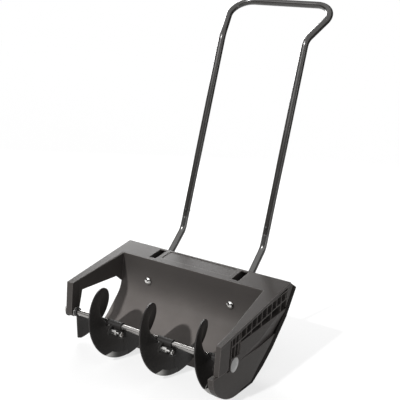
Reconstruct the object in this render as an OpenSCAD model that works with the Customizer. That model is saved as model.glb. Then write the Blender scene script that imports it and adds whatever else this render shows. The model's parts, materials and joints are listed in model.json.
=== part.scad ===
// Manual auger snow pusher, in millimetres.
// The ground is z = 0, the auger is in front (-Y), the handle rises behind (+Y), and the
// closed side is +X. Heights are above the ground. Inside place(), x = 0 is midway between
// the handle's legs and y = 0 is the deck's ridge, the rear edge of the sloped deck. place()
// moves the whole object so that its bounding box stands centred on the origin.

/* [Body] */
// Overall width of the moulded body
body_w = 603; // [563:5:643]
// Height of the ridge at the rear of the deck
ridge_h = 252; // [246:1:258]
// Depth of the deck, measured down its slope
deck_depth = 88; // [80:1:96]
// Forward slope of the deck in degrees
deck_tilt = 9.4; // [8:0.2:11]
// Thickness of the moulded skin
skin = 4; // [3:0.5:5]
// Thickness of the stiffening ribs
rib = 3; // [2:0.5:4]

/* [Auger] */
// Height of the auger's axis
shaft_h = 101; // [100:0.5:104]
// Distance of the auger's axis in front of the ridge
shaft_reach = 314.5; // [312:0.5:318]
// Diameter of the auger's shaft
shaft_d = 17; // [16:1:19]
// Outer radius of the auger's flights
flight_r = 93.5; // [88:0.5:94]
// Advance of the flights in one turn
flight_pitch = 178.8; // [176:0.2:180]
// Thickness of a flight at its rim
flight_t = 4; // [3:0.25:4.5]

/* [Handle] */
// Outer diameter of the handle tube
tube_d = 22; // [20:1:22]
// Wall of the handle tube
tube_wall = 1.5; // [1.2:0.1:2]
// Distance of each leg from the middle plane
leg_x = 152; // [150:0.5:154]
// Height of the grip bar's centre line
grip_h = 1066; // [1000:2:1120]
// Distance of the grip bar behind the ridge
grip_reach = 407; // [380:1:430]
// Half width of the grip bar between its corners
grip_half_w = 201; // [190:1:210]

/* [Hidden] */
$fn = 48;

// The body's middle stands to the right of the legs' middle plane, which is x = 0 here
side_offset = 4.5;
left_x = side_offset - body_w / 2;
right_x = side_offset + body_w / 2;
right_rear_x = right_x - 3;
nose_reach = 424;
y_shift = (nose_reach - grip_reach - tube_d / 2) / 2;
big = 1500;
nudge = 0.5;

// Deck openings, along and down its slope
slot_y = -40.5;
slot_w = 24.6;
slot_len = 65;
slot_depth = 50;
panel_sink = 1.5;
socket_half_w = 12.5;

// Blade section, as [y, z]
face_y = -(deck_depth - 1) * cos(deck_tilt) - 1;
blade_knee = [face_y, 119];
blade_shin = [-158, 39.5];
blade_toe = [-228, -4];
knee_r = 80;
shin_r = 100;
apron = [50.5, 223];
apron_lip = [45, 213];

// Left arm, in plan and in side view
arm_inner_x = -255;
arm_outer_front_x = -277;
post_front_y = -334;
post_rear_y = -299;
post_bottom_z = 86;
window_top_z = 164.5;
window_rear_y = -120;

// Right wall
web_line = [[-406, 291], [-320, 287], [-250, 277], [-87, 257], [0, 247]];
right_front_y = -406;
right_post_rear_y = -356;
right_post_bottom_z = 101;
panel_in_x = 284;
panel_x = right_x - 5;
rim_bevel = 1.5;
panel_step_y = -288;
panel_step_z = 124;
post_gap = 19;
groove_depth = 9;
lattice_pitch = 30;
lattice_front_y = -290;
lattice_rear_y = -10;
column_ys = [-337, -318, -300];
flange_lip = 9;
// Rails of the lattice, as [height under the ridge, slope in degrees]
rail_low = [172, 3];
rail_mid = [206, 8];
rail_top = [231, 6];

// Handle legs: knee, shoulder and the bolt through the blade
leg_knee = [100, 300];
leg_shoulder = [266, 951];
leg_drop_angle = 45;
leg_bolt_z = 165;
leg_tail = 25;
knee_bend_r = 50;
shoulder_bend_r = 51;
grip_bend_r = 64;
bend_swell = 0.05;
joint_at = 44;
swage_len = 45;
swage_d = tube_d - 2 * tube_wall - 0.2;
leg_lean = atan2(leg_shoulder[0] - leg_knee[0], leg_shoulder[1] - leg_knee[1]);
leg_bolt_y = leg_knee[0] - (leg_knee[1] - leg_bolt_z) / tan(leg_drop_angle);

// Fasteners
m6_r = 3;
m8_r = 4;
m10_r = 5;
saddle_t = 27;
hole_play = 0.2;

// Auger: x grows with the angle, from the left post to the right wall
flight_start_x = -252;
flight_start_angle = -83.4;
flight_root_t = 4.5;
full_turn = 359.5;
last_turn = 342;
start_round = 7;
tail_cut = 16.5;
tail_deg = 30;
tail_ramp_deg = 12;
step_deg = 6;
hub_len = 52;
hub_gap = 2.6;
hub_r = 12;
ear_t = 4;
// Tie bolts between the flights: turn of the flight, and distance from the shaft
tie_local = 300;
tie_r = 24.3;
tie_angle = flight_start_angle + tie_local;
tie_pocket_r = 8.5;
tie_head_t = 3.8;
tie_nut_len = 17;
tab_x = 3.2;
tab_t = 3.5;
pin_r = 2.5;
running_play = 0.05;
side_play = 0.3;
bush_r = 14;
bush_flange_r = 19;
bush_flange_t = 3;
boss_r = 18;
cap_r = 20.5;
cap_rise = 3.5;
collar_r = 13.5;
collar_w = 7;
washer_r = 14.5;
washer_t = 2.5;
root_relief_r = 15;
root_relief_deg = 24;

// ---------- plane geometry helpers ----------
function unit(v) = v / norm(v);
function left_of(v) = [-v[1], v[0]];
function deck_z(y) = ridge_h + y * tan(deck_tilt);
function rail_z(r, y) = r[0] + y * tan(r[1]);
function reversed(p) = [for (i = [len(p) - 1:-1:0]) p[i]];

// Corner b of the path a, b, c moved sideways by d to the left of the path
function moved_corner(a, b, c, d) =
    let (n = left_of(unit(b - a)), m = left_of(unit(c - b)))
    b + d * (n + m) / (1 + n * m);

// An open path moved sideways by d
function moved_path(p, d) = [for (i = [0:len(p) - 1])
    i == 0 ? p[0] + d * left_of(unit(p[1] - p[0])) :
    i == len(p) - 1 ? p[i] + d * left_of(unit(p[i] - p[i - 1])) :
    moved_corner(p[i - 1], p[i], p[i + 1], d)];

// A closed outline moved sideways by d
function moved_outline(p, d) = [for (i = [0:len(p) - 1])
    moved_corner(p[(i + len(p) - 1) % len(p)], p[i], p[(i + 1) % len(p)], d)];

// Corner b of a path, rounded to radius r
function round_corner(a, b, c, r, steps) =
    let (u = unit(a - b), v = unit(c - b), half = acos(u * v) / 2)
    r <= 0 ? [b] :
    let (centre = b + unit(u + v) * r / sin(half),
        from = b + u * r / tan(half) - centre,
        to = b + v * r / tan(half) - centre,
        sweep = 180 - 2 * half)
    [for (k = [0:steps]) let (f = k / steps)
        centre + (sin((1 - f) * sweep) * from + sin(f * sweep) * to) / sin(sweep)];

// An open path with each corner rounded to its own radius
function rounded_path(p, r, steps = 8) = [for (i = [0:len(p) - 1])
    each (i == 0 || i == len(p) - 1 ? [p[i]] :
        round_corner(p[i - 1], p[i], p[i + 1], r[i], steps))];

// A closed outline with every corner rounded to radius r
function rounded_outline(p, r, steps = 4) = [for (i = [0:len(p) - 1])
    each round_corner(p[(i + len(p) - 1) % len(p)], p[i], p[(i + 1) % len(p)], r, steps)];

function box_outline(x0, y0, x1, y1) = [[x0, y0], [x1, y0], [x1, y1], [x0, y1]];

// A cubic curve from a to d with the control points b and c
function curve(a, b, c, d, steps) = [for (k = [0:steps]) let (t = k / steps, s = 1 - t)
    s * s * s * a + 3 * s * s * t * b + 3 * s * t * t * c + t * t * t * d];

module place() {
    translate([-side_offset, y_shift, 0]) children();
}

// Extrudes a [y, z] outline along X
module along_x(x0, x1) {
    translate([x0, 0, 0]) rotate([90, 0, 90]) linear_extrude(x1 - x0) children();
}

// Puts [x, distance down the deck] outlines on the deck's sloped plane
module on_deck() {
    translate([0, 0, ridge_h]) rotate([deck_tilt, 0, 0]) children();
}

module x_cylinder(r, x0, x1) {
    translate([x0, 0, 0]) rotate([0, 90, 0]) cylinder(r = r, h = x1 - x0);
}

module on_shaft() {
    translate([0, -shaft_reach, shaft_h]) children();
}

module hexagon_prism(across_flats, h) {
    cylinder(d = across_flats / cos(30), h = h, $fn = 6);
}

// ---------- blade shell ----------
blade_path = [blade_toe, blade_shin, blade_knee, [face_y, deck_z(face_y)],
    [0, ridge_h], apron, apron_lip];
blade_radii = [0, shin_r, knee_r, 3, 4, skin + 1, 0];

// The rear edge of the ribs and the side wall, from the apron down to the ground
rear_edge = [apron, [-2, 142.3], [-80.5, 68], [-134, 30.5], [-193, 0]];

// The upper straight of the rear edge at height z
function rear_point(z) = apron
    + (rear_edge[1] - apron) * (apron[1] - z) / (apron[1] - rear_edge[1][1]);

// The runner's upturned front, from the ground up to the nose
runner_front = curve([-290, 0], [-340, 0], [-nose_reach, 42], [-nose_reach, 95], 10);

// The body between the blade's face and its rear edge
body_section = concat(rear_edge, [[-198, -20], [-240, -20]],
    rounded_path(moved_path([for (i = [0:3]) blade_path[i]], -1), [0, shin_r, knee_r, 0], 6),
    [[0, ridge_h - 1]]);

// Outline of the side panel's rim, where its rear edge meets the ribs
panel_outline = concat([rear_point(rail_low[0] + 1)], [for (i = [1:4]) rear_edge[i]],
    [[-290, 0], [-380, 42], [-415, 90], [-412, 106],
    [panel_step_y, rail_z(rail_low, panel_step_y)]]);

// Outline of the runner at its outer side
sole_outline = concat([[-300, 60], [-206, 10], [-198, 0]], runner_front, [[-nose_reach + 1, 104]]);

// Outline of the panel's flat outer face
panel_face_outline = [[-60, rail_z(rail_low, -60)], [-75, 154], [-110, 103], [-164, 60],
    [-203, 28], [-219, 19], [-289, 22], [-340, 36], [-385, 62], [-404, 92], [-404, 103],
    [panel_step_y, rail_z(rail_low, panel_step_y)]];

// Groove in the panel: stations of [y, lower edge, upper edge, depth]
groove = [[-289, 103.5, 104.5, 0.3], [-175, 102, 123, groove_depth / 2],
    [-60, 110, 167, groove_depth], [24, 116, 168, groove_depth]];

// Beam, post and window edge of the left arm in side view
arm_side = concat(
    [[face_y, deck_z(face_y) - 1], [post_front_y, deck_z(post_front_y) - 1]],
    round_corner([post_front_y, 150], [post_front_y, post_bottom_z], [post_rear_y, post_bottom_z], 18, 6),
    [[post_rear_y - 4, post_bottom_z], [post_rear_y + 11, window_top_z],
    [window_rear_y, window_top_z], [face_y - 1, 141], [face_y, 141]]);

post_side = concat(
    [[post_front_y, deck_z(post_front_y) - 1]],
    round_corner([post_front_y, 150], [post_front_y, post_bottom_z], [post_rear_y, post_bottom_z], 18, 6),
    [[post_rear_y - 4, post_bottom_z], [post_rear_y + 11, window_top_z],
    [post_rear_y + 11, deck_z(post_rear_y + 11) - 1]]);

function arm_outer_x(y) = left_x + (arm_outer_front_x - left_x) * y / post_front_y;
function web_x(y) = lookup(y, web_line);

// Plan of the web between the front and the blade, moved outwards by d
function web_plan(d) = [for (y = [right_front_y, -320, -250, face_y]) [web_x(y) + d, y]];

module deck_plate() {
    slope = cos(deck_tilt);
    on_deck() translate([0, 0, -skin]) linear_extrude(skin) polygon([
        [left_x, 0], [arm_outer_front_x, post_front_y / slope],
        [arm_inner_x, post_front_y / slope], [arm_inner_x - 4, -deck_depth],
        [web_x(face_y), -deck_depth], [web_x(-250), -250 / slope],
        [web_x(-320), -320 / slope], [web_x(right_front_y), right_front_y / slope],
        [right_x, right_front_y / slope], [right_rear_x, 0]]);
}

// Slots over the legs' sockets, and the bare panel sunk between them
module deck_cuts() {
    on_deck() {
        for (s = [-1, 1]) translate([s * leg_x, slot_y, -slot_depth]) linear_extrude(slot_depth + 1)
            polygon(rounded_outline(box_outline(-slot_w / 2, -slot_len / 2, slot_w / 2, slot_len / 2), 2));
        translate([0, 0, -panel_sink]) linear_extrude(panel_sink + 1)
            polygon(rounded_outline(box_outline(-126, -60, 126, -6), 5));
    }
}

// Everything above the deck's plane
module above_deck() {
    on_deck() translate([-big / 2, -big / 2, -1]) cube([big, big, big / 2]);
}

module blade_skin() {
    inner_radii = [0, shin_r - skin, knee_r - skin, 0, 0, 1, 0];
    along_x(arm_inner_x - 3.9, panel_in_x + 5) polygon(concat(
        rounded_path(blade_path, blade_radii, 10),
        reversed(rounded_path(moved_path(blade_path, -skin), inner_radii, 10))));
}

module back_ribs() {
    pair = socket_half_w;
    positions = [arm_inner_x - 1, -205, -leg_x - pair - rib, -leg_x + pair, -70, -rib / 2,
        70 - rib, leg_x - pair - rib, leg_x + pair, 205 - rib, web_x(face_y)];
    for (x = positions) along_x(x, x + rib) polygon(body_section);
    along_x(arm_inner_x - skin, arm_inner_x) polygon(body_section);
}

// Pillars that take the carriage bolts between the blade and the legs
module leg_pillars() {
    for (s = [-1, 1]) translate([s * leg_x, 0, leg_bolt_z])
        translate([-12, face_y + 1, -12]) cube([24, leg_bolt_y - face_y - 1, 24]);
}

module left_arm() {
    along_x(arm_inner_x - skin, arm_inner_x) polygon(arm_side);
    // post walls, open to the outside
    difference() {
        along_x(arm_outer_front_x, arm_inner_x) polygon(post_side);
        along_x(arm_outer_front_x - 1, arm_inner_x - skin) difference() {
            polygon(moved_outline(post_side, skin));
            translate([-shaft_reach, shaft_h]) circle(r = boss_r);
        }
    }
    // lower flange and upright ribs under the top flange
    intersection() {
        union() {
            translate([left_x, post_rear_y + 8, window_top_z])
                cube([arm_inner_x - left_x, window_rear_y - post_rear_y - 8, skin]);
            for (y = [post_rear_y + 40:lattice_pitch:face_y])
                translate([left_x, y, window_top_z]) cube([arm_inner_x - left_x, rib, 120]);
        }
        linear_extrude(ridge_h) polygon([[arm_inner_x - 1, 0], [arm_inner_x - 1, post_front_y],
            [arm_outer_x(post_front_y) + 1, post_front_y], [arm_outer_x(0) + 1, 0]]);
    }
}

// Keeps the part of its children between the slanted web and the outer edges of the ribs
module wall_plates() {
    intersection() {
        union() children();
        linear_extrude(ridge_h) polygon(concat(web_plan(1), [[web_x(lattice_rear_y), 0],
            [web_x(lattice_rear_y), 20], [panel_x - 1, 20], [panel_x - 1, right_front_y]]));
    }
}

// Plate whose top slopes forwards along the rail r
module rail(r, y0, y1, t) {
    translate([web_x(0), 0, r[0]]) rotate([r[1], 0, 0]) translate([0, y0, -t]) cube([60, y1 - y0, t]);
}

// Upright rib between two rails, or up to the deck
module upright(y, z0, z1) {
    translate([web_x(0), y, z0]) cube([60, rib - nudge, z1 - z0]);
}

module right_lattice() {
    wall_plates() {
        rail(rail_low, panel_step_y - 4, 16, rib);
        rail(rail_mid, column_ys[0], 0, rib);
        rail(rail_top, right_post_rear_y + post_gap, 0, rib - nudge);
        for (y = [lattice_front_y + lattice_pitch:lattice_pitch:lattice_rear_y - rib])
            upright(y, rail_z(rail_mid, y) - 1, rail_z(rail_top, y) - 1);
        for (y = [lattice_front_y + 2 * lattice_pitch:2 * lattice_pitch:lattice_rear_y - rib])
            upright(y, rail_z(rail_low, y) - 1, rail_z(rail_mid, y) - 1);
        upright(lattice_front_y, panel_step_z - 1, deck_z(lattice_front_y));
        for (y = column_ys) upright(y, panel_step_z - 1, deck_z(y));
    }
}

// Upper edge of the groove leans in under the face, its lower edge is a ledge
module groove_cut() {
    for (i = [0:len(groove) - 2]) hull() for (g = [groove[i], groove[i + 1]])
        translate([0, g[0] + 0.1, 0]) rotate([90, 0, 0]) linear_extrude(0.1)
            polygon([[panel_x + 1, g[1]], [panel_x + 1, g[2]], [panel_x, g[2]], [panel_x - g[3], g[1]]]);
}

// The outer panel with a bevelled rim, the groove and the runner below
module side_panel() {
    difference() {
        hull() {
            along_x(panel_in_x, panel_x - rim_bevel) polygon(panel_outline);
            along_x(panel_in_x, panel_x - nudge) polygon(sole_outline);
            along_x(panel_x - 1, panel_x) polygon(panel_face_outline);
        }
        // room for the columns, the gap behind the post and the post's foot
        translate([panel_in_x - 1, -big, panel_step_z]) cube([30, big + panel_step_y, big]);
        translate([panel_in_x - 1, -big, right_post_bottom_z - 4])
            cube([30, big + column_ys[0], big]);
        translate([panel_in_x + 5, right_post_rear_y, right_post_bottom_z - 10])
            cube([30, post_gap, big]);
        groove_cut();
    }
}

module right_wall() {
    post_x = panel_in_x + 6;
    // slanted web, from the flange down to the panel
    difference() {
        linear_extrude(ridge_h) polygon(concat(web_plan(0), reversed(web_plan(skin))));
        translate([-big / 2, 0, rail_low[0] - 1]) rotate([rail_low[1], 0, 0])
            translate([0, panel_step_y, -big]) cube([big, big, big]);
        translate([-big / 2, -big, -1]) cube([big, big + panel_step_y + nudge, 85]);
    }
    // front post
    translate([post_x, right_front_y, right_post_bottom_z])
        cube([right_x - nudge - post_x, right_post_rear_y - right_front_y, 120]);
    // plate behind the lattice, up to the ridge
    along_x(panel_in_x, panel_x - rim_bevel) polygon([[lattice_rear_y, ridge_h - 6],
        [0, ridge_h - 1], apron, rear_point(rail_low[0] - 1), [lattice_rear_y, rail_low[0] - 1]]);
    side_panel();
    right_lattice();
    // lip of the flange
    front = right_front_y / cos(deck_tilt);
    on_deck() translate([0, 0, -flange_lip]) linear_extrude(flange_lip)
        polygon([[right_rear_x - rib, 0], [right_rear_x, 0], [right_x, front], [right_x - rib, front]]);
}

module blade_shell() {
    leg_hole_r = tube_d / 2 + 0.3;
    color([0.27, 0.26, 0.25]) place() difference() {
        union() {
            deck_plate();
            difference() {
                union() {
                    blade_skin();
                    back_ribs();
                    left_arm();
                    right_wall();
                    leg_pillars();
                }
                above_deck();
            }
            on_shaft() x_cylinder(boss_r + 4, panel_in_x - 1, panel_x - 2);
        }
        deck_cuts();
        // ground plane
        translate([-big / 2, -big, -big]) cube([big, 2 * big, big]);
        // legs, their bolts and the shaft's bearings
        for (s = [-1, 1]) translate([s * leg_x, 0, 0]) {
            translate([0, leg_bolt_y, leg_bolt_z]) rotate([leg_drop_angle - 90, 0, 0])
                translate([0, 0, -leg_tail - 3]) cylinder(r = leg_hole_r, h = 260);
            translate([0, face_y - 1, leg_bolt_z]) rotate([-90, 0, 0])
                cylinder(r = m10_r + hole_play, h = 90);
        }
        on_shaft() {
            x_cylinder(bush_r, left_x, arm_inner_x + 1);
            x_cylinder(bush_r, panel_in_x - 4, right_x);
            x_cylinder(cap_r, panel_x - 3, right_x + 1);
        }
    }
}

// ---------- bearings ----------
module bush(x0, x1, flange_x) {
    place() on_shaft() difference() {
        union() {
            x_cylinder(bush_r, x0, x1);
            x_cylinder(bush_flange_r, flange_x, flange_x + bush_flange_t);
        }
        x_cylinder(shaft_d / 2 + running_play, x0 - 10, x1 + 10);
    }
}

module bush_left() {
    color([0.12, 0.12, 0.12])
        bush(arm_outer_front_x, arm_inner_x, arm_outer_front_x - bush_flange_t);
}

module bush_right() {
    color([0.12, 0.12, 0.12]) place() on_shaft() difference() {
        x_cylinder(bush_r, panel_in_x - 1, panel_x - 3);
        x_cylinder(shaft_d / 2 + running_play, panel_in_x - 10, panel_x + 10);
    }
}

// Domed cover over the shaft's right end
module bearing_cap() {
    dome_r = 70;
    depth = 3 + cap_rise;
    color([0.7, 0.7, 0.69]) place() on_shaft() translate([panel_x - 3, 0, 0]) rotate([0, 90, 0])
        rotate_extrude() intersection() {
            square([cap_r, depth]);
            translate([0, depth - dome_r]) circle(r = dome_r, $fn = 360);
        }
}

// ---------- handle ----------
// A rod along a path in space, its corners bent to the given radii. Its bends are a hair
// thicker than its straights, so that the straights end inside them.
module bent_rod(p, r, d, extra) {
    bend = [for (i = [0:len(p) - 1]) i == 0 || i == len(p) - 1 ? -extra + 1 :
        r[i] * tan(acos(unit(p[i] - p[i - 1]) * unit(p[i + 1] - p[i])) / 2)];
    for (i = [0:len(p) - 2]) {
        u = unit(p[i + 1] - p[i]);
        straight = norm(p[i + 1] - p[i]) - bend[i] - bend[i + 1] + 2;
        translate(p[i] + u * (bend[i] - 1)) aim(u) cylinder(d = d, h = straight);
    }
    for (i = [1:len(p) - 2]) {
        u = unit(p[i] - p[i - 1]);
        v = unit(p[i + 1] - p[i]);
        axis = unit(cross(u, v));
        out = cross(u, axis);
        centre = p[i] - u * bend[i] - out * r[i];
        multmatrix([[out[0], u[0], axis[0], centre[0]],
            [out[1], u[1], axis[1], centre[1]],
            [out[2], u[2], axis[2], centre[2]], [0, 0, 0, 1]])
            rotate_extrude(angle = acos(u * v)) translate([r[i], 0]) circle(d = d + 2 * bend_swell);
    }
}

// Turns +Z to the direction u
module aim(u) {
    rotate([0, acos(u[2]), atan2(u[1], u[0])]) children();
}

function leg_point(s, along) = [s * leg_x, leg_knee[0] + along * sin(leg_lean),
    leg_knee[1] + along * cos(leg_lean)];

// Children on the main leg, +Z up the leg and -Y to the front
module on_leg(s, along) {
    translate(leg_point(s, along)) rotate([-leg_lean, 0, 0]) children();
}

module joint_holes(s) {
    on_leg(s, joint_at + swage_len / 2) rotate([90, 0, 0])
        cylinder(r = m6_r + hole_play, h = 2 * tube_d, center = true);
}

module handle_upper() {
    shoulder = [leg_x, leg_shoulder[0], leg_shoulder[1]];
    grip = [grip_half_w, grip_reach, grip_h];
    right = [leg_point(1, joint_at), shoulder, grip];
    left = [for (p = right) [-p[0], p[1], p[2]]];
    points = concat(left, reversed(right));
    radii = [0, shoulder_bend_r, grip_bend_r, grip_bend_r, shoulder_bend_r, 0];
    color([0.13, 0.13, 0.13]) place() difference() {
        bent_rod(points, radii, tube_d, 0);
        bent_rod(points, radii, tube_d - 2 * tube_wall, 2);
        for (s = [-1, 1]) joint_holes(s);
    }
}

module handle_leg(s) {
    drop = [0, -cos(leg_drop_angle), -sin(leg_drop_angle)];
    knee = [s * leg_x, leg_knee[0], leg_knee[1]];
    foot = [s * leg_x, leg_bolt_y, leg_bolt_z] + leg_tail * drop;
    shut = 4;
    color([0.13, 0.13, 0.13]) place() difference() {
        union() {
            bent_rod([leg_point(s, joint_at), knee, foot], [0, knee_bend_r, 0], tube_d, 0);
            // swaged end, pushed up into the upper tube
            on_leg(s, joint_at - shut) cylinder(d = swage_d, h = swage_len + shut);
        }
        bent_rod([leg_point(s, joint_at - shut), knee, foot + 3 * drop], [0, knee_bend_r, 0],
            tube_d - 2 * tube_wall, 0);
        on_leg(s, joint_at - shut - 2)
            cylinder(d = swage_d - 2 * tube_wall, h = swage_len + 2 * shut);
        joint_holes(s);
        translate([s * leg_x, leg_bolt_y, leg_bolt_z]) rotate([90, 0, 0])
            cylinder(r = m10_r + hole_play, h = 3 * tube_d, center = true);
    }
}

module handle_leg_left() {
    handle_leg(-1);
}

module handle_leg_right() {
    handle_leg(1);
}

module handle_joint_bolts() {
    color([0.1, 0.1, 0.1]) place() for (s = [-1, 1]) on_leg(s, joint_at + swage_len / 2)
        rotate([90, 0, 0]) {
            translate([0, 0, -tube_d / 2 - 7]) cylinder(r = m6_r, h = tube_d + 9);
            // low domed head at the front
            translate([0, 0, tube_d / 2]) difference() {
                intersection() {
                    cylinder(r = 6, h = 3.4);
                    translate([0, 0, -5.6]) sphere(r = 9);
                }
                cylinder(r = m6_r - nudge, h = 0.1);
            }
        }
}

module handle_joint_nuts() {
    color([0.1, 0.1, 0.1]) place() for (s = [-1, 1]) on_leg(s, joint_at + swage_len / 2)
        rotate([-90, 0, 0]) translate([0, 0, tube_d / 2]) difference() {
            hexagon_prism(10, 5);
            translate([0, 0, -1]) cylinder(r = m6_r, h = 8);
        }
}

// Carriage bolts through the blade and the legs, their domed heads proud on a collar
module leg_bolts() {
    head_r = 12;
    head_t = 6.5;
    stand_off = 3;
    dome_r = 16.9;
    reach = leg_bolt_y + saddle_t + 11 - face_y;
    color([0.8, 0.8, 0.79]) place() for (s = [-1, 1])
        translate([s * leg_x, face_y, leg_bolt_z]) rotate([-90, 0, 0]) {
            cylinder(r = m10_r, h = reach);
            translate([0, 0, -stand_off - 1]) cylinder(r = 0.65 * head_r, h = stand_off + 1);
            intersection() {
                translate([0, 0, -stand_off - head_t - 0.1]) cylinder(r = head_r, h = head_t + 0.1);
                translate([0, 0, dome_r - stand_off - head_t]) sphere(r = dome_r);
            }
        }
}

// Saddle blocks between the tubes and the nuts
module leg_washers() {
    start = tube_d * 0.36;
    color([0.75, 0.75, 0.74]) place() for (s = [-1, 1])
        translate([s * leg_x, leg_bolt_y, leg_bolt_z]) difference() {
            translate([-10, start, -10]) cube([20, saddle_t - start, 20]);
            rotate([leg_drop_angle - 90, 0, 0])
                cylinder(r = tube_d / 2 + 0.02, h = 80, center = true);
            rotate([-90, 0, 0]) cylinder(r = m10_r + hole_play, h = 80, center = true);
        }
}

module leg_nuts() {
    color([0.75, 0.75, 0.74]) place() for (s = [-1, 1])
        translate([s * leg_x, leg_bolt_y + saddle_t, leg_bolt_z])
            rotate([-90, 0, 0]) difference() {
                hexagon_prism(16, 8);
                translate([0, 0, -1]) cylinder(r = m10_r, h = 10);
            }
}

// ---------- auger ----------
function flight_x(angle) = flight_start_x + flight_pitch * angle / 360;

// Outer radius near a flight's ends: a rounded corner at its start, and a tail cut back
// at its end, both measured in degrees from that end
function start_cut(a) = let (arc = max(0.6, a * flight_r * PI / 180)) arc >= start_round ? 0 :
    start_round - sqrt(start_round * start_round - (start_round - arc) * (start_round - arc));
function rim_r(from_start, to_end) = flight_r - start_cut(from_start)
    - tail_cut * max(0, min(1, (tail_deg + tail_ramp_deg - to_end) / tail_ramp_deg));

// One turn of screw, thicker at the root. Every few degrees there is a ring of points, out
// along the left face and back along the right one, and the rings are joined into a solid.
module screw(turn, sweep) {
    steps = ceil(sweep / step_deg);
    spread = [0, 0.12, 0.35, 0.65, 1];
    n = len(spread);
    rings = [for (k = [0:steps]) let (
        local = sweep * k / steps,
        angle = flight_start_angle + local,
        x = flight_x(360 * turn + local),
        outer = rim_r(local, sweep - local),
        inner = turn == 0 && local < root_relief_deg ? root_relief_r : shaft_d / 2 + 0.6,
        spoke = [0, cos(angle), sin(angle)])
        [for (i = [0:2 * n - 1]) let (
            f = spread[i < n ? i : 2 * n - 1 - i],
            half_t = (flight_root_t + (flight_t - flight_root_t) * f) / 2)
            (inner + (outer - inner) * f) * spoke + [x + (i < n ? -half_t : half_t), 0, 0]]];
    m = 2 * n;
    last = m * steps;
    polyhedron([for (r = rings) each r], concat(
        [for (j = [0:n - 2]) each [[j + 1, j, m - 2 - j], [m - 2 - j, j, m - 1 - j]]],
        [for (j = [0:n - 2]) each [[last + j, last + j + 1, last + m - 2 - j],
            [last + j, last + m - 2 - j, last + m - 1 - j]]],
        [for (k = [0:steps - 1], j = [0:m - 1]) each let (a = m * k + j, b = m * k + (j + 1) % m)
            j < n ? [[a, b + m, a + m], [a, b, b + m]] : [[a, b, a + m], [b, b + m, a + m]]]));
}

function sweep_of(turn) = turn == 2 ? last_turn : full_turn;
function end_x(turn) = flight_x(360 * turn + sweep_of(turn));
function hub_end_x(turn) = end_x(turn) - hub_gap;
function hub_start_x(turn) = hub_end_x(turn) - hub_len;
function ear_x(turn) = flight_x(360 * turn + tie_local) - ear_t / 2;
function tie_seat_x(turn) = flight_x(360 * turn + 360) + tab_x + tab_t;

module on_tie() {
    translate([0, tie_r * cos(tie_angle), tie_r * sin(tie_angle)]) children();
}

// Plate across the shaft, from an outline in [y, z]
module cross_plate(x, t, outline, r) {
    translate([x, 0, 0]) rotate([90, 0, 90]) linear_extrude(t) polygon(rounded_outline(outline, r));
}

// Screw, hub sleeve, the ear for the tie bolt and the tab that it holds
module auger_flight(turn) {
    face_x = ear_x(turn) + ear_t;
    color([0.14, 0.135, 0.13]) place() on_shaft() difference() {
        union() {
            screw(turn, sweep_of(turn));
            x_cylinder(hub_r, hub_start_x(turn), hub_end_x(turn));
            cross_plate(ear_x(turn), ear_t,
                [[-32.5, -28], [-32.5, -6], [-8, 6], [8, -6], [-8, -28]], 3);
            if (turn > 0) cross_plate(flight_x(360 * turn) + tab_x, tab_t,
                [[-27, -5], [-27, -24], [-14, -30], [6, -33], [13, -30], [9, -12], [-2, -13.5], [-12, -5]], 1.5);
        }
        x_cylinder(shaft_d / 2 + 0.02, flight_x(360 * turn) - 20, hub_end_x(turn) + 20);
        on_tie() {
            x_cylinder(m8_r + hole_play, flight_x(360 * turn), face_x + 1);
            x_cylinder(tie_pocket_r, face_x, face_x + 30);
        }
        hub_pin_hole(turn);
    }
}

module hub_pin_hole(turn) {
    translate([hub_start_x(turn) + 10, 0, 0]) rotate([90, 0, 0])
        cylinder(r = pin_r, h = 4 * hub_r, center = true);
}

module auger_flight_left() {
    auger_flight(0);
}

module auger_flight_centre() {
    auger_flight(1);
}

module auger_flight_right() {
    auger_flight(2);
}

module auger_shaft() {
    color([0.78, 0.78, 0.77]) place() on_shaft() difference() {
        union() {
            x_cylinder(shaft_d / 2, arm_outer_front_x - 8, panel_x - 4);
            x_cylinder(m10_r, arm_outer_front_x - 19, panel_x - 10);
        }
        for (t = [0:2]) hub_pin_hole(t);
    }
}

module hub_pins() {
    color([0.6, 0.6, 0.6]) place() on_shaft()
        for (t = [0:2]) translate([hub_start_x(t) + 10, 0, 0])
            rotate([90, 0, 0]) cylinder(r = pin_r, h = 2 * hub_r - 1, center = true);
}

// Tie bolts, each from the tab of one flight to the ear of the one before
module coupling_bolts() {
    color([0.85, 0.85, 0.84]) place() on_shaft() for (t = [0:1]) on_tie() {
        x_cylinder(m8_r, ear_x(t) - 1.5, tie_seat_x(t) + 1);
        translate([tie_seat_x(t), 0, 0]) rotate([0, 90, 0]) hexagon_prism(13, tie_head_t);
    }
}

// Long nuts that lock the tie bolts against the ears
module coupling_nuts() {
    color([0.85, 0.85, 0.84]) place() on_shaft() for (t = [0:1]) on_tie()
        translate([ear_x(t) + ear_t, 0, 0]) rotate([0, 90, 0])
            difference() {
                hexagon_prism(13, tie_nut_len);
                translate([0, 0, -1]) cylinder(r = m8_r, h = tie_nut_len + 2);
            }
}

module shaft_ring(r, x, w) {
    on_shaft() difference() {
        x_cylinder(r, x, x + w);
        x_cylinder(shaft_d / 2, x - 1, x + w + 1);
    }
}

module shaft_collar() {
    color([0.15, 0.15, 0.15]) place()
        shaft_ring(collar_r, arm_inner_x + side_play + washer_t, collar_w);
}

module shaft_washers() {
    color([0.8, 0.8, 0.79]) place() {
        shaft_ring(washer_r, arm_inner_x + side_play, washer_t);
        shaft_ring(washer_r, arm_outer_front_x - bush_flange_t - side_play - washer_t, washer_t);
    }
}

module shaft_nut() {
    color([0.8, 0.8, 0.79]) place() on_shaft()
        translate([arm_outer_front_x - 8, 0, 0]) rotate([0, -90, 0]) difference() {
            hexagon_prism(17, 8);
            translate([0, 0, -1]) cylinder(r = m10_r, h = 12);
        }
}

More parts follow.
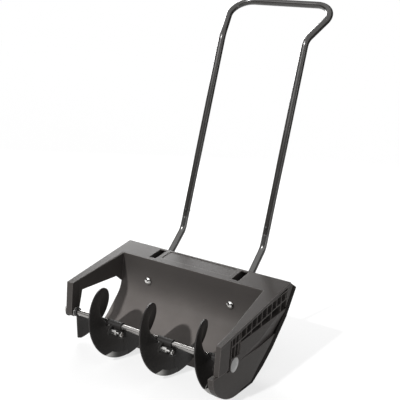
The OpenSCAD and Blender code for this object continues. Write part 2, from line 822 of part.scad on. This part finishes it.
blade_shell();
bush_left();
bush_right();
bearing_cap();
handle_upper();
handle_leg_left();
handle_leg_right();
handle_joint_bolts();
handle_joint_nuts();
leg_bolts();
leg_washers();
leg_nuts();
auger_shaft();
auger_flight_left();
auger_flight_centre();
auger_flight_right();
coupling_bolts();
coupling_nuts();
hub_pins();
shaft_collar();
shaft_washers();
shaft_nut();
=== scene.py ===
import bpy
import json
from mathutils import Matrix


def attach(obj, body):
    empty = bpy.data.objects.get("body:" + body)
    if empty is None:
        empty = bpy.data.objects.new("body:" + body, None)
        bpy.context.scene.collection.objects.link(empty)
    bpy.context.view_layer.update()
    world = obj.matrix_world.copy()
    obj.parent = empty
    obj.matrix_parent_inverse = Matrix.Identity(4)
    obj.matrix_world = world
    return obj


bl_info = {
    "name": "Auger snow pusher",
    "version": (1, 0, 0),
    "blender": (4, 5, 0),
    "location": "3D View > Sidebar > Snow pusher",
    "description": "Dresses the packed model of a hand-pushed auger snow plough",
    "category": "Object",
}

import json
import math

import bmesh
import bpy
from bpy.props import FloatProperty, FloatVectorProperty
from mathutils import Matrix, Vector

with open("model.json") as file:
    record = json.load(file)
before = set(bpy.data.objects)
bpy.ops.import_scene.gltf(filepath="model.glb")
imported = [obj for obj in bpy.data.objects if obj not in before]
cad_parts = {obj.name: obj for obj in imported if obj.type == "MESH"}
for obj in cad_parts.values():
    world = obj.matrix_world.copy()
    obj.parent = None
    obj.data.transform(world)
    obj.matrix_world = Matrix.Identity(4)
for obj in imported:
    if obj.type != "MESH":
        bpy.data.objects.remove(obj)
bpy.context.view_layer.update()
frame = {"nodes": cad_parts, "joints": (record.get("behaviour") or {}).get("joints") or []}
NODES = frame["nodes"]
SPIN = next(j for j in frame["joints"] if j["name"] == "auger_spin")
SHAFT = Vector(SPIN["pos_m"])

# Lengths are in metres and angles in degrees.

# The right wall's rear edge, as (y, z) from the top down to the ground and forward
SIDE_EDGE = ((0.0525, 0.2215), (0.0012, 0.1421), (-0.0773, 0.0678), (-0.1308, 0.0303),
             (-0.1895, 0.0004), (-0.262, 0.0004))
RIM_WIDTH = 0.024
RIM_TIP_WIDTH = 0.004
RIM_OUTER_X = 0.2962
RIM_DEPTH = 0.006
# The strip's colour is the body's darkened by this factor, a painted shade.
RIM_SHADE_TONE = 0.3

# The flights' helix, one turn of it for each flight
HELIX_START_X = -0.2565
HELIX_START_ANGLE = -83.4
HELIX_PITCH = 0.1788
FLIGHT_SIDES = ("left", "centre", "right")
FLIGHT_SWEEPS = (359.5, 359.5, 342.0)

# A tail's lip: (distance from the shaft, offset along it) round its section, the angle that
# it covers before the flight's end and past it, and the part in which it grows to full width
LIP_SECTION = ((0.0755, -0.00225), (0.0755, 0.00225), (0.0920, 0.00205),
               (0.0935, 0.0010), (0.0935, -0.0010), (0.0920, -0.00205))
LIP_ROOT_LIMIT = 0.08
LIP_SPAN = 41.5
LIP_OVERLAPS = (7.5, 7.5, 0.0)
LIP_STEPS = (33, 33, 28)
LIP_RAMP = 12.0
TAIL_CUT = 0.0165

# Cards that only reflections see: name, centre, axis of a quarter turn, half sizes, grey tone
CARDS = (
    ("back_flag", (-0.5, 3.0, 2.5), "X", (5.5, 2.5), 0.0),
    ("side_flag", (1.7, 1.1, 0.001), None, (1.34, 1.6), 0.5),
    ("left_flag", (-3.5, -0.5, 1.3), "Y", (1.0, 3.5), 0.0),
    ("right_front_flag", (4.0, -2.75, 1.3), "Y", (1.1, 1.75), 0.0),
    ("right_back_flag", (4.0, 1.45, 1.3), "Y", (1.1, 1.55), 0.0),
    ("front_flag", (-0.5, -4.5, 1.5), "X", (4.5, 1.2), 0.0),
)

KEY_TOWARD = (-0.168, -0.791, 0.588)
KEY_ANGLE = 3.0
KEY_DISTANCE = 4.0
SHEEN_PLACE = (-1.75, 1.9, 1.35)
SHEEN_TARGET = (0.0, 0.0, 0.2)
SHEEN_SIZE = (1.4, 1.4)
STRIP_PLACE = (3.9, -0.55, 1.1)
STRIP_TARGET = (0.1, 0.15, 0.7)
STRIP_SIZE = (0.22, 1.9)

FLOOR_HALF = 14.0
FLOOR_COLOUR = (0.86, 0.86, 0.86, 1.0)
FLOOR_GLOW = 1.1
FLOOR_GLOW_SHARE = 0.6
WHITE = (1.0, 1.0, 1.0, 1.0)

CLIP_END = 60.0
SENSOR_WIDTH = 36.0
FOCAL_PER_WIDTH = 747.29 / 400.0
CAMERA_POSE = Matrix((
    (0.8464, -0.1835, 0.4999, 1.1373),
    (0.5276, 0.1607, -0.8342, -1.9579),
    (0.0727, 0.9698, 0.2328, 0.9880),
    (0.0, 0.0, 0.0, 1.0)))


# ---------- settings ----------
def colour(name, description, default):
    return FloatVectorProperty(name=name, description=description, subtype="COLOR",
                               size=3, min=0.0, max=1.0, default=default)


class PusherFinish(bpy.types.PropertyGroup):
    body: colour("Body plastic", "Colour of the moulded body", (0.050, 0.0455, 0.043))
    auger: colour("Auger plastic", "Colour of the three flights", (0.022, 0.0205, 0.0195))
    tube: colour("Handle coat", "Colour of the handle's powder coat", (0.033, 0.031, 0.029))
    steel: colour("Shaft steel", "Colour of the drawn shaft", (0.31, 0.30, 0.29))
    zinc: colour("Zinc plate", "Colour of the plated fasteners", (0.70, 0.69, 0.67))
    edge_radius: FloatProperty(name="Edge radius", description="Rounding seen on moulded edges",
                               default=0.0012, min=0.0, max=0.004, unit="LENGTH")


class PusherStage(bpy.types.PropertyGroup):
    key_power: FloatProperty(name="Key light", description="Strength of the key sun",
                             default=2.6, min=0.0)
    fill_power: FloatProperty(name="Sheen light", description="Power of the large light behind",
                              default=66.0, min=0.0, unit="POWER")
    strip_power: FloatProperty(name="Strip light", default=10.0, min=0.0, unit="POWER",
                               description="Power of the narrow light that edges the tubes")
    ambient: FloatProperty(name="Ambient", description="Strength of the world on the object",
                           default=0.5, min=0.0)


# ---------- mesh helper ----------
def link_mesh(form, name):
    """The object made of a finished bmesh, linked to the scene."""
    mesh = bpy.data.meshes.new(name)
    form.to_mesh(mesh)
    form.free()
    target = bpy.data.objects.new(name, mesh)
    bpy.context.scene.collection.objects.link(target)
    return target


# ---------- shader helpers ----------
EDGE_SPAN = 0.0034
EDGE_CONTRAST = 6.0
PATCH_GAIN, PATCH_FLOOR = 0.8, 0.5
CLOUD_SCALE, CLOUD_GAIN, CLOUD_FLOOR = 14.0, 0.5, 0.75
FINE_DETAIL, DRIFT_DETAIL = 2.0, 4.0
NOISE_ROUGHNESS = 0.55
GLOSS_DRIFT = 0.16
COAT_ROUGHNESS = 0.18
GRAIN_DISTANCE = 0.0004
GRAIN_GAIN = 10
BRUSH_SCALE = 60.0
THROAT_RIGHT_X = 0.26
EDGE_HIGHLIGHT_SAMPLES, BEVEL_SAMPLES = 4, 8


def new_group(name, inputs, outputs):
    """An empty shader group with its sockets, and its input and output nodes."""
    tree = bpy.data.node_groups.new(name, "ShaderNodeTree")
    for label, kind, value in inputs:
        socket = tree.interface.new_socket(label, in_out="INPUT", socket_type=kind)
        if value is not None:
            socket.default_value = value
    for label, kind in outputs:
        tree.interface.new_socket(label, in_out="OUTPUT", socket_type=kind)
    return tree, tree.nodes.new("NodeGroupInput"), tree.nodes.new("NodeGroupOutput")


def maths(tree, operation, a, b=None, c=None, clamp=False):
    """Output of a Math node, whose inputs are numbers or links."""
    node = tree.nodes.new("ShaderNodeMath")
    node.operation = operation
    node.use_clamp = clamp
    for socket, value in zip(node.inputs, (a, b, c)):
        if value is None:
            continue
        if isinstance(value, (int, float)):
            socket.default_value = value
        else:
            tree.links.new(value, socket)
    return node.outputs[0]


def object_axes(tree):
    """The X, Y and Z outputs of the object coordinates."""
    coords = tree.nodes.new("ShaderNodeTexCoord").outputs["Object"]
    axes = tree.nodes.new("ShaderNodeSeparateXYZ")
    tree.links.new(coords, axes.inputs[0])
    return axes.outputs


def smooth_ramp(tree, value, start, end):
    """0 at start, 1 at end, eased at both."""
    node = tree.nodes.new("ShaderNodeMapRange")
    node.interpolation_type = "SMOOTHSTEP"
    tree.links.new(value, node.inputs["Value"])
    tree.links.new(start, node.inputs["From Min"])
    tree.links.new(end, node.inputs["From Max"])
    return node.outputs["Result"]


def object_noise(tree, scale, detail=3.0, stretch=None):
    """Noise in object coordinates."""
    coords = tree.nodes.new("ShaderNodeTexCoord").outputs["Object"]
    if stretch:
        mapping = tree.nodes.new("ShaderNodeMapping")
        mapping.inputs["Scale"].default_value = stretch
        tree.links.new(coords, mapping.inputs["Vector"])
        coords = mapping.outputs[0]
    noise = tree.nodes.new("ShaderNodeTexNoise")
    tree.links.new(coords, noise.inputs["Vector"])
    if isinstance(scale, (int, float)):
        noise.inputs["Scale"].default_value = scale
    else:
        tree.links.new(scale, noise.inputs["Scale"])
    noise.inputs["Detail"].default_value = detail
    noise.inputs["Roughness"].default_value = NOISE_ROUGHNESS
    return noise.outputs["Fac"]


def build_edge_group():
    """Mask of outward edges, from the rounded normal against the true one, for painted highlights
    along them.
    """
    tree, ins, outs = new_group(
        "Edge highlight",
        [("Amount", "NodeSocketFloat", 0.5), ("Breakup", "NodeSocketFloat", 60.0)],
        [("Mask", "NodeSocketFloat")])
    bevel = tree.nodes.new("ShaderNodeBevel")
    bevel.samples = EDGE_HIGHLIGHT_SAMPLES
    bevel.inputs["Radius"].default_value = EDGE_SPAN
    geometry = tree.nodes.new("ShaderNodeNewGeometry")
    dot = tree.nodes.new("ShaderNodeVectorMath")
    dot.operation = "DOT_PRODUCT"
    tree.links.new(bevel.outputs[0], dot.inputs[0])
    tree.links.new(geometry.outputs["Normal"], dot.inputs[1])
    bent = maths(tree, "SUBTRACT", 1.0, dot.outputs["Value"])
    edge = maths(tree, "MULTIPLY", bent, EDGE_CONTRAST, clamp=True)
    patchy = maths(tree, "MULTIPLY_ADD", object_noise(tree, ins.outputs["Breakup"]),
                   PATCH_GAIN, PATCH_FLOOR)
    mask = maths(tree, "MULTIPLY", maths(tree, "MULTIPLY", edge, patchy),
                 ins.outputs["Amount"], clamp=True)
    tree.links.new(mask, outs.inputs["Mask"])
    return tree


def build_grain_group():
    """Fine moulded or cast texture, and a slow drift of tone."""
    tree, ins, outs = new_group(
        "Surface grain",
        [("Fine scale", "NodeSocketFloat", 900.0), ("Drift scale", "NodeSocketFloat", 9.0)],
        [("Height", "NodeSocketFloat"), ("Drift", "NodeSocketFloat")])
    fine = object_noise(tree, ins.outputs["Fine scale"], FINE_DETAIL)
    drift = object_noise(tree, ins.outputs["Drift scale"], DRIFT_DETAIL)
    tree.links.new(fine, outs.inputs["Height"])
    tree.links.new(drift, outs.inputs["Drift"])
    return tree


def build_throat_sheen_group():
    """Soft mask of the blade's throat, where a painted sheen lightens the colour in place of the
    highlight there.
    """
    tree, ins, outs = new_group(
        "Throat painted sheen",
        [("Low", "NodeSocketFloat", 0.04), ("High", "NodeSocketFloat", 0.215),
         ("Front", "NodeSocketFloat", -0.30), ("Back", "NodeSocketFloat", -0.07),
         ("Side", "NodeSocketFloat", 0.262), ("Fade", "NodeSocketFloat", 0.55)],
        [("Mask", "NodeSocketFloat")])
    x, y, z = object_axes(tree)
    lowness = maths(tree, "SUBTRACT", 1.0,
                    smooth_ramp(tree, z, ins.outputs["Low"], ins.outputs["High"]))
    ahead = maths(tree, "LESS_THAN", y, ins.outputs["Back"])
    behind = maths(tree, "GREATER_THAN", y, ins.outputs["Front"])
    inside = maths(tree, "LESS_THAN", maths(tree, "ABSOLUTE", x), ins.outputs["Side"])
    cloudy = maths(tree, "MULTIPLY_ADD", object_noise(tree, CLOUD_SCALE),
                   CLOUD_GAIN, CLOUD_FLOOR)
    across = tree.nodes.new("ShaderNodeMapRange")
    tree.links.new(x, across.inputs["Value"])
    across.inputs["From Min"].default_value = 0.0
    across.inputs["From Max"].default_value = THROAT_RIGHT_X
    fade = maths(tree, "SUBTRACT", 1.0,
                 maths(tree, "MULTIPLY", across.outputs["Result"], ins.outputs["Fade"]))
    strength = maths(tree, "MULTIPLY", lowness, maths(tree, "MULTIPLY", cloudy, fade))
    region = maths(tree, "MULTIPLY", inside, maths(tree, "MULTIPLY", ahead, behind))
    mask = maths(tree, "MULTIPLY", strength, region, clamp=True)
    tree.links.new(mask, outs.inputs["Mask"])
    return tree


def build_tail_glint_group():
    """Mask of a flight's tail towards the front, where a painted glint lightens it."""
    tree, ins, outs = new_group(
        "Tail painted glint",
        [("Front", "NodeSocketFloat", -0.362), ("Back", "NodeSocketFloat", -0.312)],
        [("Mask", "NodeSocketFloat")])
    y = object_axes(tree)["Y"]
    near_front = maths(tree, "SUBTRACT", 1.0,
                       smooth_ramp(tree, y, ins.outputs["Front"], ins.outputs["Back"]))
    tree.links.new(maths(tree, "MULTIPLY", near_front, near_front), outs.inputs["Mask"])
    return tree


def place_group(material, group, **values):
    """A shared group's node in a material, with some of its inputs set."""
    node = material.node_tree.nodes.new("ShaderNodeGroup")
    node.node_tree = bpy.data.node_groups[group]
    for name, value in values.items():
        node.inputs[name.replace("_", " ")].default_value = value
    return node


def mix_colours(tree, factor, a, b):
    """Colour a where the factor is 0 and b where it is 1; both are colours or links."""
    node = tree.nodes.new("ShaderNodeMix")
    node.data_type = "RGBA"
    tree.links.new(factor, node.inputs["Factor"])
    for socket, value in ((node.inputs["A"], a), (node.inputs["B"], b)):
        if isinstance(value, (tuple, list)):
            socket.default_value = (*value[:3], 1.0)
        else:
            tree.links.new(value, socket)
    return node.outputs["Result"]


def finish_material(name, base, rough, metallic=0.0, drift=0.12, grain=0.02, fine=900.0,
                    edge=0.4, edge_highlight_gain=1.9, coat=0.0, specular=0.5, brushed=None,
                    bevel_radius=0.0012, sheen_gain=None, glint_colour=None):
    """A material with drift in tone and gloss, fine grain, and painted highlights that lighten its
    edges.

    The throat gain paints a sheen on the blade's throat, and the tail colour paints a glint on a
    flight's tail.
    """
    material = bpy.data.materials.new(name)
    material.use_nodes = True
    tree = material.node_tree
    shader = tree.nodes["Principled BSDF"]
    shader.inputs["Metallic"].default_value = metallic
    shader.inputs["Specular IOR Level"].default_value = specular
    shader.inputs["Coat Weight"].default_value = coat
    shader.inputs["Coat Roughness"].default_value = COAT_ROUGHNESS

    surface = place_group(material, "Surface grain", Fine_scale=fine)
    edge_highlight = place_group(material, "Edge highlight", Amount=edge)
    darker = tuple(c * (1.0 - drift) for c in base)
    lighter = tuple(min(1.0, c * (1.0 + drift)) for c in base)
    tone = mix_colours(tree, surface.outputs["Drift"], darker, lighter)
    # Painted highlight: edges are painted lighter where they would catch the light.
    highlighted_tone = tuple(min(1.0, c * edge_highlight_gain) for c in base)
    # Painted sheen: the blade's throat is painted paler where the key light's highlight falls,
    # fading to the right.
    if sheen_gain:
        throat = place_group(material, "Throat painted sheen")
        painted_sheen_tone = tuple(c * sheen_gain for c in base)
        tone = mix_colours(tree, throat.outputs["Mask"], tone, painted_sheen_tone)
    # Painted glint: the flight's tail is painted pale towards the front, where it catches the
    # light.
    if glint_colour:
        tail_glint = place_group(material, "Tail painted glint")
        tone = mix_colours(tree, tail_glint.outputs["Mask"], tone, glint_colour)
    tree.links.new(mix_colours(tree, edge_highlight.outputs["Mask"], tone, highlighted_tone),
                   shader.inputs["Base Color"])

    spread = maths(tree, "MULTIPLY_ADD", surface.outputs["Drift"], GLOSS_DRIFT,
                   rough - GLOSS_DRIFT / 2)
    tree.links.new(spread, shader.inputs["Roughness"])

    bump = tree.nodes.new("ShaderNodeBump")
    bump.inputs["Strength"].default_value = grain * GRAIN_GAIN
    bump.inputs["Distance"].default_value = GRAIN_DISTANCE
    height = surface.outputs["Height"]
    if brushed:
        height = object_noise(tree, BRUSH_SCALE, FINE_DETAIL, stretch=brushed)
    tree.links.new(height, bump.inputs["Height"])
    bevel = tree.nodes.new("ShaderNodeBevel")
    bevel.samples = BEVEL_SAMPLES
    bevel.inputs["Radius"].default_value = bevel_radius
    tree.links.new(bevel.outputs[0], bump.inputs["Normal"])
    tree.links.new(bump.outputs[0], shader.inputs["Normal"])
    return material


def dress(material, *names):
    """Give carried-over nodes their material."""
    for name in names:
        target = NODES[name]
        target.data.materials.clear()
        target.data.materials.append(material)


# ---------- operators ----------
class PUSHER_OT_shaders(bpy.types.Operator):
    """Build the shared shader groups"""
    bl_idname = "pusher.shaders"
    bl_label = "Shader groups"

    def execute(self, context):
        build_edge_group()
        build_grain_group()
        build_throat_sheen_group()
        build_tail_glint_group()
        return {"FINISHED"}


class PUSHER_OT_body(bpy.types.Operator):
    """Finish the moulded body and its bearings"""
    bl_idname = "pusher.body"
    bl_label = "Moulded body"

    def execute(self, context):
        finish = context.scene.pusher_finish
        # The body's throat carries a painted sheen that stands in for its highlight.
        body = finish_material("Body plastic", finish.body, 0.42, edge=1.0, edge_highlight_gain=2.4,
                               specular=0.06, bevel_radius=finish.edge_radius, sheen_gain=2.9)
        dress(body, "blade_shell")
        rim = self.side_shade_strip()
        # Painted shade: the strip is coloured far darker than the body to stand for the shade on
        # the wall's rear edge.
        painted_shade = tuple(c * RIM_SHADE_TONE for c in finish.body)
        rim.data.materials.append(finish_material("Painted shade strip plastic", painted_shade, 0.6, edge=0.3,
                                                  edge_highlight_gain=2.0, specular=0.01))
        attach(rim, "frame")
        dress(finish_material("Bearing plastic", (0.02, 0.02, 0.02), 0.5),
              "bush_left", "bush_right")
        dress(finish_material("Cap plastic", (0.25, 0.25, 0.245), 0.3, coat=0.3), "bearing_cap")
        return {"FINISHED"}

    @staticmethod
    def side_shade_strip():
        """Strip along the right wall's rear edge and sole, a dark sheet that paints the shade
        there.
        """
        edge = [Vector((0.0, *point)) for point in SIDE_EDGE]
        inward = []
        for start, end in zip(edge, edge[1:]):
            run = (end - start).normalized()
            inward.append(Vector((0.0, run.z, -run.y)))
        shift = Vector((RIM_OUTER_X, 0.0, 0.0))
        form = bmesh.new()
        outer, inner = [], []
        for i, point in enumerate(edge):
            before, after = inward[max(i - 1, 0)], inward[min(i, len(inward) - 1)]
            mitre = (before + after).normalized()
            width = RIM_WIDTH if i < len(edge) - 1 else RIM_TIP_WIDTH
            outer.append(form.verts.new(point + shift))
            inner.append(form.verts.new(point + shift + mitre * width / mitre.dot(after)))
        faces = [form.faces.new((outer[i], inner[i], inner[i + 1], outer[i + 1]))
                 for i in range(len(edge) - 1)]
        grown = bmesh.ops.extrude_face_region(form, geom=faces)["geom"]
        bmesh.ops.translate(form, vec=(-RIM_DEPTH, 0.0, 0.0),
                            verts=[v for v in grown if isinstance(v, bmesh.types.BMVert)])
        bmesh.ops.recalc_face_normals(form, faces=form.faces[:])
        return link_mesh(form, "side_shade_strip")


class PUSHER_OT_handle(bpy.types.Operator):
    """Finish the handle tubes and their fasteners"""
    bl_idname = "pusher.handle"
    bl_label = "Handle"

    def execute(self, context):
        finish = context.scene.pusher_finish
        coat = finish_material("Powder coat", finish.tube, 0.24, metallic=0.3, fine=1400.0,
                               grain=0.01, specular=1.0, bevel_radius=0.003)
        dress(coat, "handle_upper")
        satin = finish_material("Satin tube", (0.13, 0.128, 0.125), 0.25,
                                metallic=0.75, fine=1400.0, grain=0.005, specular=0.8,
                                edge=0.2, bevel_radius=0.003)
        dress(satin, "handle_leg_left", "handle_leg_right")
        dress(finish_material("Black zinc", (0.03, 0.03, 0.03), 0.35, metallic=0.6),
              "handle_joint_bolts", "handle_joint_nuts")
        return {"FINISHED"}


class PUSHER_OT_auger(bpy.types.Operator):
    """Finish the auger, its shaft and its hardware"""
    bl_idname = "pusher.auger"
    bl_label = "Auger"

    def execute(self, context):
        finish = context.scene.pusher_finish
        plastic = finish_material("Auger plastic", finish.auger, 0.45, fine=700.0, specular=0.2,
                                  bevel_radius=0.004)
        dress(plastic, "auger_flight_left", "auger_flight_centre", "auger_flight_right")
        dress(finish_material("Drawn steel", finish.steel, 0.26, metallic=1.0, grain=0.001,
                              brushed=(400.0, 3.0, 3.0), bevel_radius=0.0025), "auger_shaft")
        dress(finish_material("Bright zinc", finish.zinc, 0.25, metallic=1.0, edge=0.2,
                              edge_highlight_gain=1.2),
              "coupling_bolts", "coupling_nuts", "hub_pins", "shaft_washers", "shaft_nut",
              "leg_washers", "leg_nuts")
        dress(finish_material("Polished plate", finish.zinc, 0.16, metallic=1.0, drift=0.05,
                              grain=0.005, edge=0.1, edge_highlight_gain=1.1), "leg_bolts")
        # The tail lips carry a painted glint, pale towards the front.
        lip_glint_plastic = finish_material("Lip plastic with painted glint", finish.auger, 0.42, fine=700.0,
                                      specular=0.3, glint_colour=(0.62, 0.61, 0.59))
        for turn, side in enumerate(FLIGHT_SIDES):
            lip = self.tail_lip("flight_lip_" + side, turn)
            lip.data.materials.append(lip_glint_plastic)
            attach(lip, "auger")
        dress(finish_material("Collar plastic", (0.02, 0.02, 0.02), 0.5), "shaft_collar")
        return {"FINISHED"}

    @staticmethod
    def tail_lip(name, turn):
        """Thin rim that fills out the tail of a flight, swept along its helix."""
        local = FLIGHT_SWEEPS[turn] - LIP_SPAN
        span, steps = LIP_SPAN + LIP_OVERLAPS[turn], LIP_STEPS[turn]
        angle = math.radians(HELIX_START_ANGLE + local)
        place = HELIX_START_X + HELIX_PITCH * (turn + local / 360.0)
        outward = Vector((0.0, math.cos(angle), math.sin(angle)))
        form = bmesh.new()
        section = [form.verts.new(Vector((place + aside, SHAFT.y, SHAFT.z)) + outward * reach)
                   for reach, aside in LIP_SECTION]
        start = form.faces.new(section)
        bmesh.ops.spin(form, geom=[start, *start.edges, *section], cent=SHAFT,
                       axis=(1.0, 0.0, 0.0), angle=math.radians(span), steps=steps,
                       dvec=(HELIX_PITCH * span / 360.0 / steps, 0.0, 0.0), use_merge=False)
        for vert in form.verts:
            arm = vert.co - SHAFT
            arm.x = 0.0
            turned = math.degrees(math.atan2(arm.z, arm.y) - angle) % 360.0
            if arm.length < LIP_ROOT_LIMIT and turned < LIP_RAMP:
                vert.co += arm.normalized() * TAIL_CUT * (1.0 - turned / LIP_RAMP)
        bmesh.ops.recalc_face_normals(form, faces=form.faces[:])
        return link_mesh(form, name)


class PUSHER_OT_stage(bpy.types.Operator):
    """Lay the floor, set the lights and the camera"""
    bl_idname = "pusher.stage"
    bl_label = "Stage"

    def execute(self, context):
        stage = context.scene.pusher_stage
        scene = context.scene
        scene.view_settings.view_transform = "Standard"

        form = bmesh.new()
        bmesh.ops.create_grid(form, x_segments=1, y_segments=1, size=FLOOR_HALF)
        floor = link_mesh(form, "floor")
        floor.data.materials.append(self.floor_material())
        for card in CARDS:
            self.card(*card)

        scene.world = self.world(stage.ambient)
        self.sun("key_light", stage.key_power)
        self.panel("sheen_light", stage.fill_power, SHEEN_PLACE, SHEEN_TARGET, SHEEN_SIZE)
        self.panel("strip_light", stage.strip_power, STRIP_PLACE, STRIP_TARGET, STRIP_SIZE)
        self.camera(scene)
        return {"FINISHED"}

    @staticmethod
    def camera(scene):
        """The camera, in front and past the closed side, looking a little down."""
        data = bpy.data.cameras.new("camera")
        data.sensor_width = SENSOR_WIDTH
        data.lens = FOCAL_PER_WIDTH * SENSOR_WIDTH
        data.clip_end = CLIP_END
        camera = bpy.data.objects.new("camera", data)
        scene.collection.objects.link(camera)
        camera.matrix_world = CAMERA_POSE
        scene.camera = camera

    @staticmethod
    def card(name, centre, axis, halves, tone):
        """Black or grey card that is seen in reflections only."""
        turn = Matrix.Rotation(math.radians(90.0), 4, axis) if axis else Matrix.Identity(4)
        matrix = Matrix.Translation(centre) @ turn @ Matrix.Diagonal((*halves, 1.0, 1.0))
        form = bmesh.new()
        bmesh.ops.create_grid(form, x_segments=1, y_segments=1, size=1.0, matrix=matrix)
        card = link_mesh(form, name)
        material = bpy.data.materials.new("Card of " + name)
        material.use_nodes = True
        shader = material.node_tree.nodes["Principled BSDF"]
        shader.inputs["Base Color"].default_value = (tone, tone, tone, 1.0)
        shader.inputs["Specular IOR Level"].default_value = 0.0
        card.data.materials.append(material)
        card.visible_camera = False
        card.visible_diffuse = False
        card.visible_shadow = False
        card.visible_transmission = False
        card.visible_volume_scatter = False

    @staticmethod
    def seen_directly(tree):
        """1 where a camera, glossy or transmission ray looks."""
        path = tree.nodes.new("ShaderNodeLightPath")
        seen = maths(tree, "MAXIMUM", path.outputs["Is Camera Ray"], path.outputs["Is Glossy Ray"])
        return maths(tree, "MAXIMUM", seen, path.outputs["Is Transmission Ray"])

    def floor_material(self):
        """White where it is looked at, but still with the object's shadow."""
        material = bpy.data.materials.new("Pale floor")
        material.use_nodes = True
        tree = material.node_tree
        shader = tree.nodes["Principled BSDF"]
        shader.inputs["Base Color"].default_value = FLOOR_COLOUR
        shader.inputs["Roughness"].default_value = 0.9
        shader.inputs["Specular IOR Level"].default_value = 0.1
        glow = tree.nodes.new("ShaderNodeEmission")
        glow.inputs["Strength"].default_value = FLOOR_GLOW
        part = tree.nodes.new("ShaderNodeMixShader")
        share = maths(tree, "MULTIPLY", self.seen_directly(tree), FLOOR_GLOW_SHARE)
        tree.links.new(share, part.inputs[0])
        tree.links.new(shader.outputs[0], part.inputs[1])
        tree.links.new(glow.outputs[0], part.inputs[2])
        tree.links.new(part.outputs[0], tree.nodes["Material Output"].inputs["Surface"])
        return material

    def world(self, ambient):
        """White where it is looked at, and soft light for everything else."""
        world = bpy.data.worlds.new("Studio")
        world.use_nodes = True
        tree = world.node_tree
        soft = tree.nodes["Background"]
        soft.inputs["Color"].default_value = WHITE
        soft.inputs["Strength"].default_value = ambient
        white = tree.nodes.new("ShaderNodeBackground")
        white.inputs["Color"].default_value = WHITE
        white.inputs["Strength"].default_value = 1.0
        part = tree.nodes.new("ShaderNodeMixShader")
        tree.links.new(self.seen_directly(tree), part.inputs[0])
        tree.links.new(soft.outputs[0], part.inputs[1])
        tree.links.new(white.outputs[0], part.inputs[2])
        tree.links.new(part.outputs[0], tree.nodes["World Output"].inputs["Surface"])
        return world

    @staticmethod
    def add_lamp(data, place, toward):
        """A lamp at its place, with its back along toward."""
        lamp = bpy.data.objects.new(data.name, data)
        bpy.context.scene.collection.objects.link(lamp)
        lamp.rotation_euler = toward.to_track_quat("Z", "Y").to_euler()
        lamp.location = place

    def sun(self, name, power):
        """Hard key light from the front and above."""
        data = bpy.data.lights.new(name, "SUN")
        data.energy = power
        data.angle = math.radians(KEY_ANGLE)
        toward = Vector(KEY_TOWARD)
        self.add_lamp(data, toward * KEY_DISTANCE, toward)

    def panel(self, name, power, place, target, size):
        """Rectangular area light that faces its target."""
        data = bpy.data.lights.new(name, "AREA")
        data.energy = power
        data.shape = "RECTANGLE"
        data.size, data.size_y = size
        self.add_lamp(data, place, Vector(place) - Vector(target))


STEPS = (PUSHER_OT_shaders, PUSHER_OT_body, PUSHER_OT_handle, PUSHER_OT_auger, PUSHER_OT_stage)


class PUSHER_PT_panel(bpy.types.Panel):
    """Lists the steps that dress the model"""
    bl_idname = "PUSHER_PT_panel"
    bl_label = "Snow pusher"
    bl_space_type = "VIEW_3D"
    bl_region_type = "UI"
    bl_category = "Snow pusher"

    def draw(self, context):
        for group in (context.scene.pusher_finish, context.scene.pusher_stage):
            for key in group.bl_rna.properties.keys():
                if key not in ("rna_type", "name"):
                    self.layout.prop(group, key)
        for step in STEPS:
            self.layout.operator(step.bl_idname)


CLASSES = (PusherFinish, PusherStage, *STEPS, PUSHER_PT_panel)


def register():
    for entry in CLASSES:
        bpy.utils.register_class(entry)
    bpy.types.Scene.pusher_finish = bpy.props.PointerProperty(type=PusherFinish)
    bpy.types.Scene.pusher_stage = bpy.props.PointerProperty(type=PusherStage)


def unregister():
    del bpy.types.Scene.pusher_stage
    del bpy.types.Scene.pusher_finish
    for entry in reversed(CLASSES):
        bpy.utils.unregister_class(entry)


def main():
    register()
    for step in STEPS:
        area, name = step.bl_idname.split(".")
        getattr(getattr(bpy.ops, area), name)()


if __name__ == "__main__":
    main()
